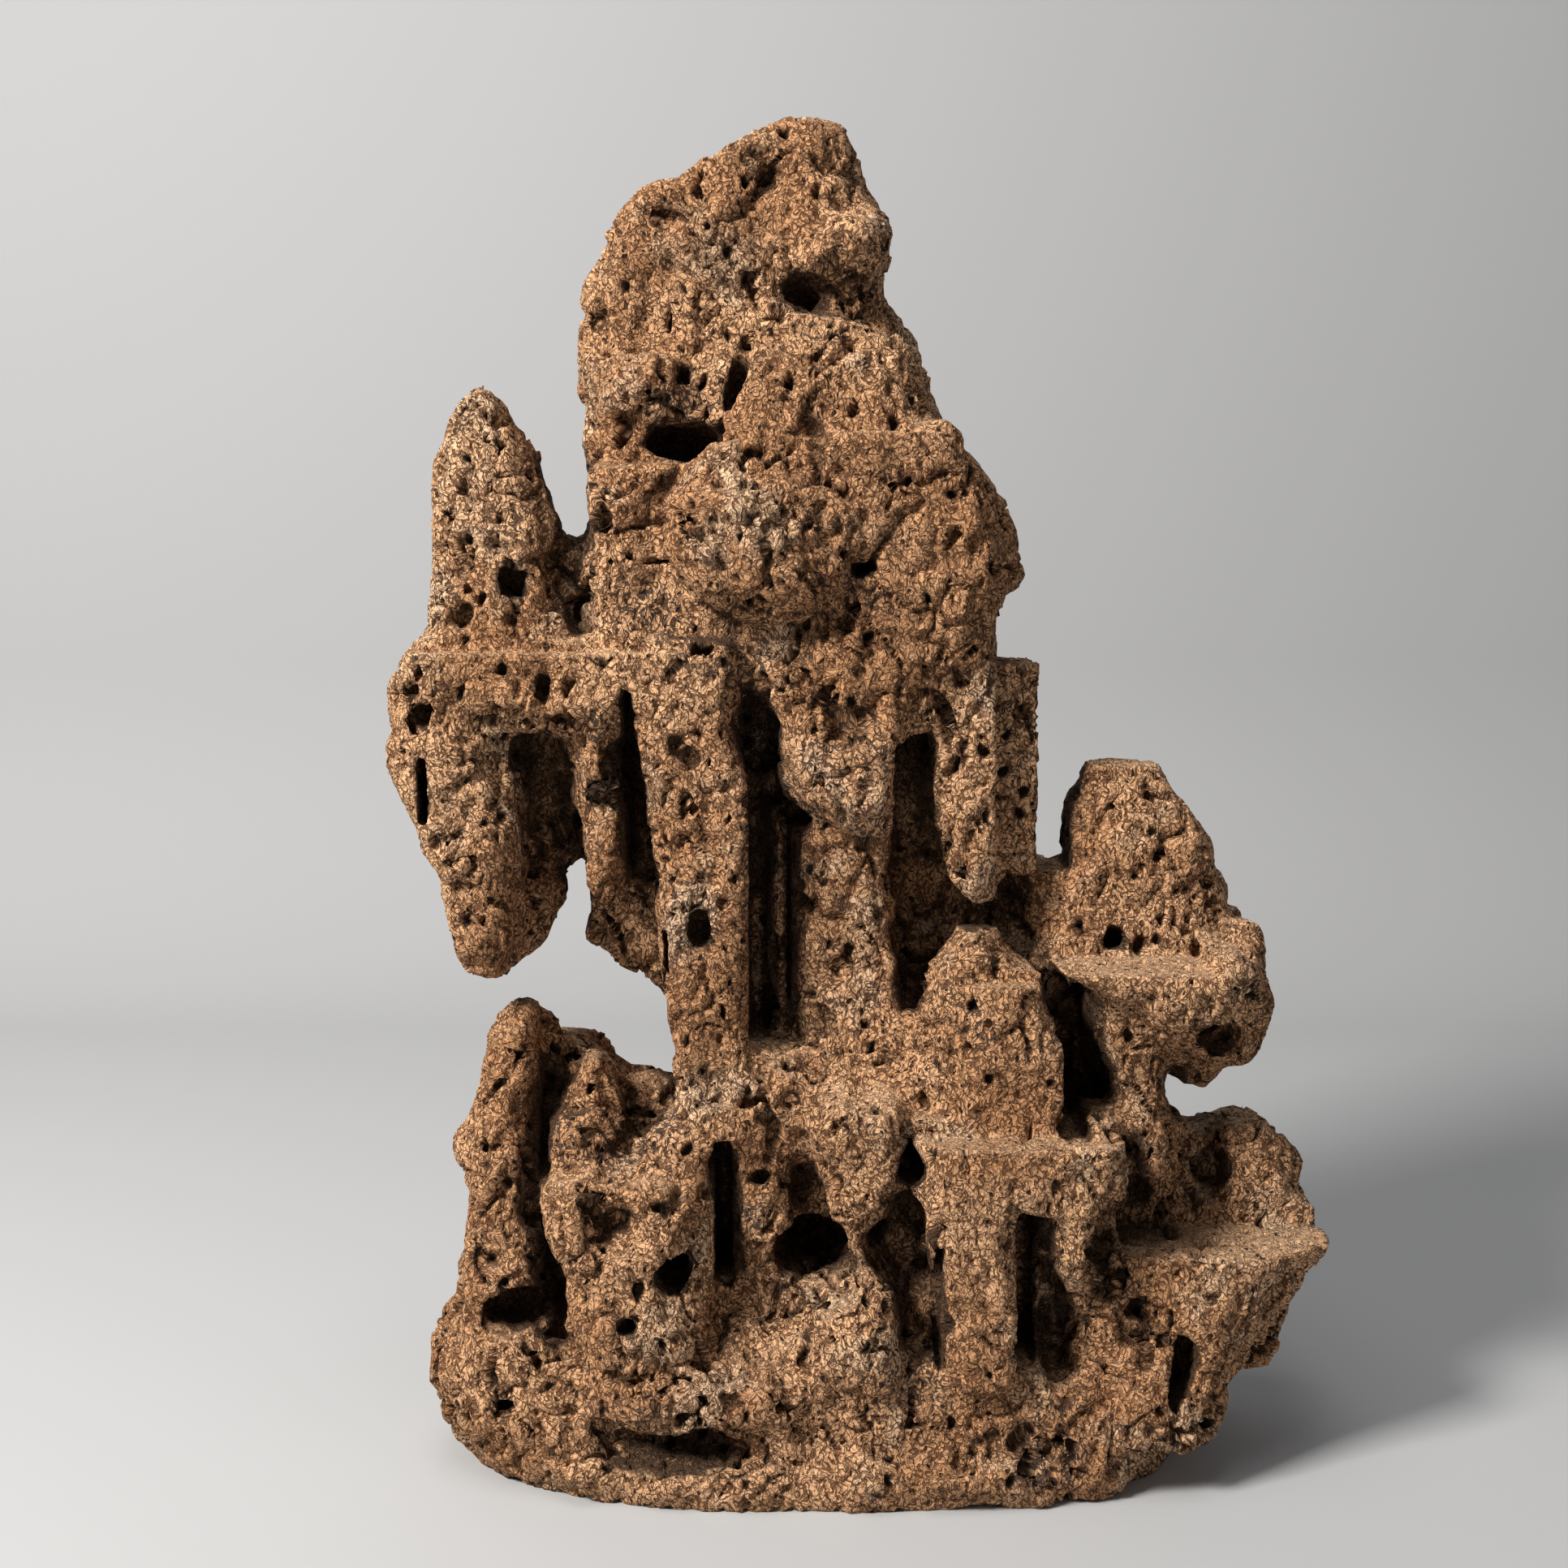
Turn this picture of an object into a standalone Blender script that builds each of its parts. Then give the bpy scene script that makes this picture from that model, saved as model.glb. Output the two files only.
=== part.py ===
"""A water-absorbing stone: one block of porous tufa, grown lumpy and then sawn into a mountain landscape.

Metres, +Z up, the carved front towards -Y. The origin is on the ground, under the middle of the flat foot.
"""

import math
import random

import bmesh
import bpy
from mathutils import Matrix, Vector

# The finished stone.
HEIGHT = 0.720
WIDTH = 0.510
DEPTH = 0.200

# The stone is measured by eye from one point in front of it. Columns and rows are points across and down the
# square picture that is seen from there, and depths are metres behind the stone's middle plane.
EYE_DISTANCE = 1.050
EYE_HEIGHT = 0.505
EYE_SIDE = -0.036
EYE_TILT = math.radians(7.40)
PICTURE = 1932
FOCAL = PICTURE / 2 / math.tan(math.radians(43.71) / 2)

# How the forms grow into one body.
RING_CORNERS = 24
WAVER = 0.06            # how far a ring's outline wavers, as a share of its radius
EDGE_DEPTH = 0.28       # where along its depth a form shows its outer edge, from the front
GRAIN = 0.0030          # the smallest thing that survives when overlapping forms become one
LUMP_SIZE = 0.034
LUMP_RELIEF = 0.010
KNOB_SIZE = 0.014
KNOB_RELIEF = 0.006
BODY_TRIANGLES = 7900   # faces of the body before the saw cuts it
GROUND_SIDE = 0.4       # the block of ground under the foot
CLEAR_OF_FRONT = 0.16   # further forward than any form reaches

# Each form below is a stack of rings, from the bottom up: how square its outline is (2 is an ellipse, and 6 is
# nearly a rectangle), then the row, the left and right column, and the front and back of each ring.

# The top mountain, with its lower peak in front.
SUMMIT = {
    "main peak": (3, [
        (565, 719, 1178, -0.012, 0.078), (540, 719, 1173, -0.015, 0.078), (490, 714, 1152, -0.015, 0.075),
        (440, 716, 1130, -0.012, 0.072), (400, 719, 1116, -0.010, 0.070), (370, 724, 1100, -0.010, 0.066),
        (345, 733, 1086, -0.012, 0.062), (322, 741, 1087, -0.016, 0.060), (300, 744, 1095, -0.020, 0.060),
        (275, 747, 1099, -0.022, 0.058), (250, 757, 1090, -0.022, 0.056), (232, 776, 1082, -0.020, 0.054),
        (210, 838, 1068, -0.018, 0.052), (185, 872, 1060, -0.014, 0.048), (163, 905, 1045, -0.008, 0.044),
        (150, 942, 1032, -0.002, 0.036), (143, 975, 1018, 0.006, 0.028),
    ]),
    "sub peak": (3.2, [
        (566, 880, 1180, -0.038, 0.020), (530, 880, 1168, -0.040, 0.020), (490, 898, 1152, -0.042, 0.020),
        (440, 910, 1130, -0.040, 0.020), (405, 920, 1110, -0.036, 0.018), (386, 932, 1066, -0.030, 0.014),
        (372, 948, 1005, -0.024, 0.008),
    ]),
    "peak lump": (2, [
        (345, 985, 1088, -0.026, 0.020), (315, 975, 1092, -0.034, 0.020), (285, 985, 1096, -0.036, 0.020),
        (262, 1005, 1090, -0.030, 0.020),
    ]),
    "west knob": (2, [
        (510, 738, 850, -0.024, 0.020), (470, 735, 850, -0.030, 0.020), (440, 745, 845, -0.026, 0.020),
    ]),
}

# The sawn block under the top mountain.
SHOULDER = {
    "body": (3.5, [
        (825, 735, 1229, -0.032, 0.086), (780, 732, 1228, -0.034, 0.088), (738, 730, 1226, -0.034, 0.088),
        (728, 728, 1238, -0.032, 0.088), (712, 728, 1244, -0.032, 0.086), (690, 726, 1246, -0.032, 0.086),
        (645, 722, 1237, -0.030, 0.084), (600, 720, 1216, -0.027, 0.082), (570, 719, 1200, -0.034, 0.080),
        (551, 719, 1193, -0.032, 0.080), (540, 722, 1186, -0.030, 0.078),
    ]),
    "face right": (3.6, [
        (830, 1000, 1226, -0.046, 0.010), (740, 1000, 1228, -0.049, 0.010), (690, 1000, 1240, -0.050, 0.010),
        (640, 990, 1234, -0.051, 0.010), (590, 980, 1208, -0.052, 0.010), (555, 970, 1192, -0.054, 0.010),
        (533, 1000, 1184, -0.055, 0.010), (520, 1004, 1176, -0.054, 0.010),
    ]),
    "bulge": (3.8, [
        (764, 880, 990, -0.040, 0.000), (750, 862, 1000, -0.050, 0.000), (738, 846, 1030, -0.060, 0.010),
        (715, 830, 1052, -0.067, 0.020), (670, 818, 1062, -0.070, 0.020), (635, 816, 1062, -0.070, 0.020),
        (612, 826, 1050, -0.068, 0.020), (594, 840, 1030, -0.064, 0.020),
    ]),
    "bulge step": (3.6, [
        (620, 846, 1010, -0.058, 0.010), (580, 850, 990, -0.058, 0.010), (562, 856, 958, -0.054, 0.010),
        (552, 870, 940, -0.048, 0.010),
    ]),
    "west post": (4, [
        (800, 728, 812, -0.034, 0.020), (700, 728, 806, -0.033, 0.020), (620, 724, 800, -0.033, 0.020),
        (574, 720, 845, -0.032, 0.020),
    ]),
}

# The spire that stands alone on the west terrace, and the saddle behind it.
WEST_SPIRE = {
    "spire": (3, [
        (812, 513, 712, -0.036, 0.052), (780, 514, 704, -0.036, 0.050), (740, 519, 695, -0.034, 0.048),
        (690, 529, 690, -0.032, 0.046), (640, 521, 690, -0.030, 0.042), (600, 527, 679, -0.027, 0.038),
        (560, 535, 664, -0.022, 0.032), (535, 545, 645, -0.018, 0.026), (510, 556, 622, -0.014, 0.020),
        (490, 562, 608, -0.010, 0.014), (476, 576, 594, -0.004, 0.008),
    ]),
    "saddle": (3, [
        (812, 670, 780, -0.012, 0.066), (740, 676, 770, -0.008, 0.064), (700, 680, 760, -0.002, 0.060),
        (662, 688, 745, 0.004, 0.054),
    ]),
}

# The sawn terrace under the spire.
WEST_TERRACE = {
    "slab": (5, [
        (905, 560, 790, -0.040, 0.070), (870, 500, 806, -0.048, 0.074), (840, 482, 866, -0.051, 0.076),
        (806, 497, 880, -0.052, 0.076), (792, 505, 880, -0.050, 0.076),
    ]),
}

# The rock that hangs from the terrace over the gap, and the curtain beside it.
HANGING = {
    "hang front": (3.5, [
        (1216, 598, 624, -0.026, 0.012), (1200, 568, 645, -0.038, 0.028), (1150, 556, 650, -0.042, 0.044),
        (1080, 536, 648, -0.046, 0.050), (1050, 522, 646, -0.046, 0.050), (1000, 500, 642, -0.046, 0.050),
        (960, 480, 638, -0.046, 0.050), (930, 476, 636, -0.046, 0.050), (880, 471, 642, -0.046, 0.050),
        (850, 476, 650, -0.046, 0.050), (812, 494, 660, -0.046, 0.050),
    ]),
    "hang rear": (3, [
        (1190, 592, 650, 0.004, 0.044), (1130, 580, 685, 0.008, 0.064), (1060, 570, 702, 0.014, 0.078),
        (1035, 560, 716, 0.016, 0.082), (960, 545, 745, 0.016, 0.084), (890, 530, 780, 0.016, 0.084),
        (812, 520, 860, 0.016, 0.084),
    ]),
    "second curtain": (2.5, [
        (1118, 738, 756, -0.028, 0.000), (1095, 720, 776, -0.036, 0.020), (1050, 712, 776, -0.038, 0.030),
        (1000, 702, 772, -0.038, 0.036), (940, 694, 768, -0.038, 0.040), (880, 684, 768, -0.038, 0.040),
        (830, 670, 775, -0.038, 0.044),
    ]),
}

# The wall behind the pillars, which carries everything above.
CORE = {
    "core": (3.5, [
        (1420, 835, 1440, 0.018, 0.096), (1340, 833, 1438, 0.018, 0.096), (1300, 828, 1430, 0.018, 0.096),
        (1245, 820, 1380, 0.018, 0.096), (1225, 806, 1365, 0.018, 0.096), (1200, 774, 1345, 0.018, 0.094),
        (1165, 740, 1320, 0.018, 0.092), (1120, 724, 1300, 0.018, 0.090), (1060, 714, 1284, 0.018, 0.088),
        (1000, 690, 1278, 0.018, 0.086), (900, 640, 1276, 0.018, 0.086), (815, 600, 1274, 0.018, 0.086),
    ]),
}

# The pillars and curtains of the tall front wall.
PILLARS = {
    "great pillar": (4.5, [
        (1420, 838, 940, -0.064, 0.040), (1385, 836, 935, -0.064, 0.040), (1310, 832, 926, -0.061, 0.040),
        (1250, 822, 926, -0.059, 0.040), (1150, 812, 926, -0.057, 0.040), (1060, 800, 924, -0.055, 0.040),
        (960, 782, 918, -0.053, 0.040), (880, 774, 916, -0.051, 0.040), (795, 772, 930, -0.050, 0.040),
    ]),
    "rib": (3, [
        (1300, 945, 969, -0.010, 0.040), (1150, 944, 968, -0.008, 0.040), (990, 944, 966, -0.006, 0.040),
    ]),
    "centre pillar": (4, [
        (1350, 985, 1135, -0.048, 0.040), (1300, 980, 1125, -0.038, 0.040), (1260, 977, 1112, -0.028, 0.040),
        (1200, 976, 1106, -0.024, 0.040), (1100, 974, 1102, -0.022, 0.040), (1020, 972, 1100, -0.020, 0.040),
    ]),
    "centre brow": (4.5, [
        (1036, 1056, 1095, -0.036, 0.020), (1020, 1010, 1100, -0.042, 0.030), (1000, 970, 1102, -0.046, 0.040),
        (950, 958, 1106, -0.047, 0.040), (900, 950, 1116, -0.046, 0.040), (870, 930, 1130, -0.044, 0.040),
        (820, 900, 1180, -0.042, 0.040),
    ]),
    "east curtain": (2.6, [
        (1112, 1192, 1226, -0.030, 0.000), (1090, 1166, 1240, -0.038, 0.020), (1050, 1150, 1246, -0.040, 0.030),
        (1000, 1141, 1247, -0.040, 0.036), (950, 1139, 1246, -0.038, 0.040), (900, 1150, 1246, -0.038, 0.040),
        (840, 1150, 1246, -0.038, 0.040),
    ]),
    "brow east": (3.5, [
        (905, 1120, 1240, -0.032, 0.040), (860, 1060, 1240, -0.040, 0.040), (810, 1000, 1230, -0.042, 0.040),
    ]),
    "square pillar": (6, [
        (1076, 1236, 1286, -0.012, 0.072), (1000, 1237, 1286, -0.014, 0.072), (818, 1236, 1284, -0.015, 0.072),
        (806, 1236, 1284, -0.015, 0.072),
    ]),
}

# The domed hill on the east side, on its sawn wing and narrow neck.
EAST_DOME = {
    "dome": (2.8, [
        (1190, 1262, 1518, -0.018, 0.064), (1140, 1262, 1518, -0.017, 0.064), (1110, 1278, 1516, -0.015, 0.062),
        (1060, 1296, 1502, -0.012, 0.060), (1010, 1311, 1474, -0.007, 0.056), (975, 1326, 1450, -0.002, 0.050),
        (952, 1341, 1434, 0.003, 0.046), (932, 1348, 1424, 0.008, 0.040),
    ]),
    "dome foot": (2.6, [
        (1200, 1256, 1330, -0.014, 0.060), (1120, 1250, 1310, -0.006, 0.064), (1065, 1255, 1300, 0.004, 0.068),
    ]),
    "wing": (4, [
        (1338, 1452, 1482, -0.008, 0.030), (1325, 1440, 1512, -0.022, 0.040), (1308, 1420, 1545, -0.036, 0.046),
        (1285, 1392, 1562, -0.050, 0.056), (1250, 1352, 1580, -0.066, 0.062), (1222, 1306, 1578, -0.075, 0.066),
        (1200, 1288, 1568, -0.076, 0.066), (1184, 1290, 1556, -0.074, 0.066),
    ]),
    "wing step": (4, [
        (1175, 1500, 1562, -0.022, 0.052), (1143, 1506, 1548, -0.014, 0.046),
    ]),
    "wing neck": (3.5, [
        (1510, 1372, 1470, -0.048, 0.060), (1440, 1378, 1450, -0.046, 0.058), (1390, 1372, 1446, -0.046, 0.056),
        (1345, 1352, 1443, -0.046, 0.054), (1290, 1344, 1440, -0.050, 0.052), (1215, 1338, 1460, -0.052, 0.050),
    ]),
}

# The crag under the wing.
EAST_CRAG = {
    "crag": (3.4, [
        (1530, 1440, 1570, -0.006, 0.076), (1495, 1446, 1580, -0.008, 0.076), (1470, 1450, 1598, -0.008, 0.074),
        (1445, 1452, 1602, -0.006, 0.072), (1412, 1458, 1592, 0.000, 0.068), (1388, 1480, 1574, 0.006, 0.062),
        (1373, 1505, 1556, 0.014, 0.052),
    ]),
    "crag step": (3, [
        (1500, 1440, 1510, 0.000, 0.060), (1396, 1448, 1500, 0.006, 0.058),
    ]),
}

# The sawn terrace of the east side.
TERRACE = {
    "terrace": (4.5, [
        (1700, 1260, 1572, -0.066, 0.084), (1640, 1280, 1592, -0.070, 0.084), (1590, 1300, 1614, -0.072, 0.084),
        (1562, 1310, 1630, -0.072, 0.084), (1540, 1322, 1630, -0.070, 0.084), (1524, 1330, 1622, -0.060, 0.084),
    ]),
    "terrace front": (3, [
        (1800, 1270, 1510, -0.090, 0.060), (1740, 1290, 1530, -0.088, 0.060), (1660, 1345, 1560, -0.080, 0.060),
        (1600, 1350, 1596, -0.078, 0.060), (1556, 1345, 1604, -0.076, 0.060), (1536, 1350, 1600, -0.070, 0.060),
    ]),
}

# The foot, with its lips.
BASE = {
    "plinth": (3, [
        (1868, 585, 1490, -0.090, 0.090), (1830, 560, 1505, -0.098, 0.098), (1790, 556, 1520, -0.098, 0.098),
        (1740, 552, 1535, -0.096, 0.098), (1690, 556, 1548, -0.090, 0.098),
    ]),
    "plinth upper": (3, [
        (1740, 548, 1540, -0.084, 0.098), (1660, 600, 1500, -0.058, 0.098), (1600, 640, 1460, -0.042, 0.096),
        (1480, 680, 1450, -0.036, 0.096), (1400, 820, 1440, -0.028, 0.096),
    ]),
    "west toe": (2.6, [
        (1800, 565, 700, -0.040, 0.060), (1770, 548, 720, -0.062, 0.060), (1735, 538, 740, -0.070, 0.060),
        (1700, 544, 740, -0.074, 0.060), (1660, 548, 700, -0.074, 0.060),
    ]),
    "front lip": (3, [
        (1866, 700, 1400, -0.094, -0.040), (1845, 670, 1420, -0.100, -0.040), (1820, 660, 1430, -0.099, -0.040),
        (1800, 680, 1440, -0.090, -0.040),
    ]),
    "upper lip": (3, [
        (1770, 700, 1000, -0.098, -0.040), (1745, 690, 1010, -0.100, -0.040), (1715, 700, 990, -0.098, -0.040),
        (1700, 720, 970, -0.090, -0.040),
    ]),
}

# The crag on the west side, its ridges and its knob.
WEST_CRAG = {
    "crag": (3, [
        (1700, 546, 700, -0.076, 0.040), (1640, 552, 690, -0.074, 0.040), (1590, 560, 686, -0.070, 0.040),
        (1540, 566, 680, -0.066, 0.040), (1500, 572, 672, -0.064, 0.040), (1440, 576, 668, -0.060, 0.038),
        (1390, 574, 664, -0.056, 0.036), (1340, 582, 662, -0.050, 0.032), (1300, 596, 662, -0.044, 0.028),
        (1270, 608, 664, -0.038, 0.024), (1248, 622, 662, -0.032, 0.018), (1234, 636, 656, -0.026, 0.008),
    ]),
    "ear": (2, [
        (1436, 556, 590, -0.040, -0.010), (1424, 547, 592, -0.046, -0.004), (1402, 552, 594, -0.044, -0.004),
        (1380, 572, 596, -0.038, -0.010),
    ]),
    "spur": (2.5, [
        (1300, 650, 690, -0.004, 0.030), (1262, 655, 682, 0.000, 0.028), (1244, 657, 677, 0.006, 0.024),
    ]),
    "ridge high": (3, [
        (1420, 650, 800, -0.004, 0.060), (1340, 655, 775, -0.002, 0.060), (1300, 660, 752, 0.000, 0.056),
        (1290, 662, 740, 0.004, 0.052), (1277, 664, 700, 0.008, 0.046),
    ]),
    "ridge low": (3, [
        (1440, 740, 880, -0.020, 0.060), (1370, 745, 860, -0.008, 0.060), (1345, 750, 840, 0.004, 0.060),
        (1330, 752, 800, 0.010, 0.054),
    ]),
    "knob": (2.4, [
        (1448, 676, 770, -0.056, 0.000), (1420, 670, 768, -0.058, 0.000), (1390, 676, 772, -0.054, 0.000),
        (1370, 690, 770, -0.050, 0.000), (1345, 698, 760, -0.044, 0.000), (1318, 708, 752, -0.036, 0.000),
        (1302, 716, 742, -0.030, 0.000),
    ]),
}

# The boulder in front of the west crag.
BOULDER = {
    "boulder": (3, [
        (1700, 690, 890, -0.092, 0.000), (1650, 690, 880, -0.092, 0.000), (1600, 690, 870, -0.090, 0.000),
        (1560, 672, 872, -0.092, 0.000), (1520, 664, 884, -0.094, 0.000), (1490, 664, 880, -0.092, 0.000),
        (1468, 680, 868, -0.084, 0.000), (1452, 706, 850, -0.072, 0.000),
    ]),
    "boulder post": (4, [
        (1610, 800, 890, -0.072, 0.000), (1500, 802, 886, -0.072, 0.000), (1440, 790, 876, -0.070, 0.000),
        (1392, 800, 868, -0.060, 0.000),
    ]),
    "boulder terrace": (3.5, [
        (1480, 670, 880, -0.060, 0.020), (1440, 680, 870, -0.050, 0.020), (1400, 760, 860, -0.034, 0.020),
    ]),
}

# The middle of the lower front.
CENTRE = {
    "centre wall": (4, [
        (1640, 870, 1010, -0.040, 0.030), (1560, 900, 990, -0.052, 0.030), (1480, 900, 985, -0.056, 0.030),
        (1405, 895, 1000, -0.058, 0.030),
    ]),
    "pillar foot": (3, [
        (1402, 842, 1012, -0.066, 0.030), (1370, 842, 1012, -0.066, 0.030), (1340, 840, 1010, -0.062, 0.030),
        (1305, 900, 1004, -0.050, 0.030), (1288, 930, 990, -0.036, 0.030),
    ]),
    "hanging lump": (2.6, [
        (1532, 1038, 1064, -0.070, -0.044), (1515, 1022, 1086, -0.076, -0.036), (1480, 1008, 1110, -0.082, -0.020),
        (1440, 998, 1118, -0.086, 0.000), (1400, 990, 1122, -0.086, 0.010), (1374, 998, 1118, -0.078, 0.020),
        (1352, 1018, 1106, -0.062, 0.020),
    ]),
    "slope": (3, [
        (1400, 1060, 1200, -0.060, 0.020), (1340, 1050, 1180, -0.048, 0.020), (1290, 1080, 1170, -0.034, 0.020),
        (1250, 1110, 1170, -0.024, 0.020),
    ]),
    "low pinnacle": (2.8, [
        (1720, 980, 1130, -0.096, -0.020), (1680, 984, 1120, -0.098, -0.020), (1640, 984, 1118, -0.096, -0.020),
        (1600, 992, 1108, -0.092, -0.020), (1575, 1004, 1094, -0.086, -0.024), (1556, 1020, 1078, -0.080, -0.030),
        (1547, 1030, 1060, -0.074, -0.036),
    ]),
    "floor rise": (3, [
        (1740, 640, 1200, -0.090, 0.000), (1690, 700, 1160, -0.074, 0.000), (1640, 780, 1150, -0.052, 0.000),
        (1600, 850, 1130, -0.036, 0.000),
    ]),
}

# The pinnacle in front of the east dome.
PINNACLE = {
    "pinnacle": (2.8, [
        (1420, 1098, 1350, -0.066, 0.010), (1390, 1104, 1340, -0.065, 0.010), (1330, 1108, 1322, -0.062, 0.010),
        (1270, 1128, 1302, -0.058, 0.008), (1220, 1142, 1284, -0.054, 0.004), (1195, 1154, 1260, -0.050, 0.000),
        (1170, 1172, 1240, -0.044, -0.004), (1152, 1186, 1222, -0.038, -0.010),
    ]),
    "pinnacle step": (5, [
        (1420, 1180, 1346, -0.068, -0.010), (1330, 1190, 1322, -0.067, -0.010), (1270, 1194, 1306, -0.065, -0.010),
        (1219, 1194, 1292, -0.064, -0.010), (1204, 1196, 1290, -0.063, -0.010),
    ]),
}

# The sawn ledge under the pinnacle, on its legs.
FRONT_LEDGE = {
    "ledge": (5, [
        (1500, 1128, 1386, -0.097, 0.000), (1465, 1126, 1392, -0.099, 0.000), (1425, 1126, 1392, -0.099, 0.000),
        (1406, 1130, 1388, -0.097, 0.000),
    ]),
    "west leg": (4, [
        (1725, 1150, 1256, -0.099, 0.000), (1640, 1154, 1250, -0.099, 0.000), (1560, 1140, 1254, -0.098, 0.000),
        (1490, 1130, 1262, -0.098, 0.000),
    ]),
    "drop": (2.6, [
        (1600, 1314, 1328, -0.080, -0.056), (1580, 1302, 1342, -0.090, -0.040), (1545, 1292, 1350, -0.095, -0.030),
        (1500, 1288, 1354, -0.097, -0.020), (1450, 1282, 1384, -0.097, -0.010),
    ]),
    "ledge root": (3.5, [
        (1760, 1140, 1440, -0.060, 0.020), (1600, 1130, 1440, -0.044, 0.020), (1500, 1120, 1440, -0.040, 0.020),
        (1430, 1110, 1420, -0.040, 0.020),
    ]),
}

# Caves, holes and pits: the middle's column and row, the half width and half height, the depth of the surface
# there, how far the hollow goes in, and how many degrees it leans over.
HOLLOWS = {
    "niche cave": (838, 546, 50.6, 27.5, -0.014, 0.040, 0),
    "hole behind the lower peak": (990, 360, 40, 20, -0.026, 0.040, 8),
    "cleft west of the lower peak": (908, 470, 11, 84, -0.022, 0.026, 10),
    "head of the west gap": (706, 1112, 15, 60, 0.000, 0.120, 6),
    "hollow at the end of the bulge": (1066, 700, 23.2, 14.6, -0.046, 0.022, 0),
    "hole in the dome's foot": (1375, 1158, 17.1, 14.6, -0.015, 0.026, 0),
    "pit in the dome's foot": (1315, 1168, 13.4, 7.3, -0.012, 0.016, 0),
    "hollow of the east crag": (1496, 1440, 26, 36, -0.006, 0.024, 12),
    "cave behind the neck's foot": (1420, 1486, 32.9, 41.5, -0.044, 0.046, 0),
    "boulder hollow": (757, 1525, 44, 37.4, -0.094, 0.020, 0),
    "boulder hole": (828, 1562, 20.7, 29.3, -0.072, 0.040, 0),
    "boulder pit": (770, 1640, 19.5, 14.6, -0.090, 0.022, 0),
    "central cave": (1004, 1550, 58, 38, -0.050, 0.070, 14),
    "cave beside the hanging lump": (990, 1474, 15, 50, -0.058, 0.040, -8),
    "west cave": (635, 1622, 52.8, 26.4, -0.072, 0.049, 0),
    "foot cave, west": (736, 1777, 32.9, 13.4, -0.098, 0.024, 0),
    "foot undercut": (830, 1804, 120, 24, -0.100, 0.042, 0),
    "foot hole": (872, 1785, 17.1, 19.5, -0.098, 0.040, 0),
    "foot cave, middle": (1022, 1808, 29.3, 11, -0.099, 0.019, 0),
    "low pinnacle slot": (1009, 1628, 8.5, 29.3, -0.094, 0.019, 5),
    "knob hole, upper": (725, 1349, 12.2, 11, -0.046, 0.014, 0),
    "knob hole, lower": (720, 1405, 11, 8.5, -0.057, 0.016, 0),
    "niche west of the pinnacle": (1118, 1424, 16, 34, -0.060, 0.040, 0),
    "slit in the hanging lump, upper": (1022, 1407, 8.5, 29.3, -0.082, 0.016, 10),
    "slit in the hanging lump, lower": (1044, 1487, 7.3, 34.2, -0.084, 0.016, -10),
    "recess east of the low pinnacle": (1128, 1600, 18, 80, -0.070, 0.030, 4),
    "recess under the drop": (1306, 1650, 30, 62, -0.072, 0.038, 0),
    "terrace cave, upper": (1418, 1628, 31.7, 17.1, -0.080, 0.027, 0),
    "terrace cave, tall": (1458, 1690, 20.7, 58.6, -0.080, 0.030, 10),
    "terrace pit": (1502, 1705, 17.1, 7.3, -0.080, 0.016, 0),
    "ledge slot, east": (1322, 1437, 23.2, 9.8, -0.097, 0.019, 0),
    "ledge slot, west": (1275, 1467, 13.4, 9.8, -0.097, 0.016, 0),
    "hollow on the hanging rock": (514, 885, 19.5, 20.7, -0.044, 0.024, 0),
    "hollow under the slab": (670, 862, 13.4, 36.6, -0.046, 0.046, -10),
    "upper slit": (841, 465, 8.5, 20.7, -0.013, 0.019, 8),
    "summit pit, west": (821, 268, 18.3, 23.2, -0.020, 0.016, -10),
    "summit pit, middle": (872, 220, 11, 19.5, -0.016, 0.016, 0),
    "summit pit, east": (947, 218, 15.9, 19.5, -0.014, 0.019, 0),
    "summit pit, brow": (1040, 250, 12.2, 19.5, -0.028, 0.016, 0),
    "summit hollow": (790, 398, 14.6, 26.8, -0.011, 0.016, 10),
    "spire hollow": (628, 718, 22, 25.6, -0.034, 0.024, 0),
    "spire pit, low": (566, 765, 15.9, 22, -0.036, 0.019, 0),
    "spire pit, high": (612, 640, 11, 13.4, -0.031, 0.016, 0),
    "bulge pit": (918, 678, 9.8, 8.5, -0.060, 0.014, 0),
    "pillar pit": (858, 1150, 14.6, 29.3, -0.054, 0.019, 0),
    "pillar pit, high": (850, 930, 8.5, 24.4, -0.046, 0.014, 0),
    "curtain pit": (736, 980, 12.2, 22, -0.040, 0.019, 0),
    "hanging rock pit, middle": (566, 1050, 12.2, 19.5, -0.048, 0.016, 0),
    "hanging rock pit, low": (600, 1140, 11, 14.6, -0.044, 0.016, 0),
    "wing hollow": (1516, 1282, 42, 24, -0.052, 0.026, 25),
    "wing hollow, low": (1478, 1322, 22, 15, -0.040, 0.022, 20),
    "neck pit": (1400, 1250, 14.6, 24.4, -0.056, 0.022, 0),
    "crag pit": (610, 1420, 12.2, 22, -0.058, 0.016, 0),
    "crag pit, low": (600, 1560, 22, 17.1, -0.070, 0.019, 0),
    "wall pit": (938, 1455, 14.6, 17.1, -0.058, 0.022, 0),
    "foot pit, east": (1330, 1770, 22, 12.2, -0.092, 0.016, 0),
    "foot pit, west": (620, 1735, 22, 12.2, -0.074, 0.016, 0),
}

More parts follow.
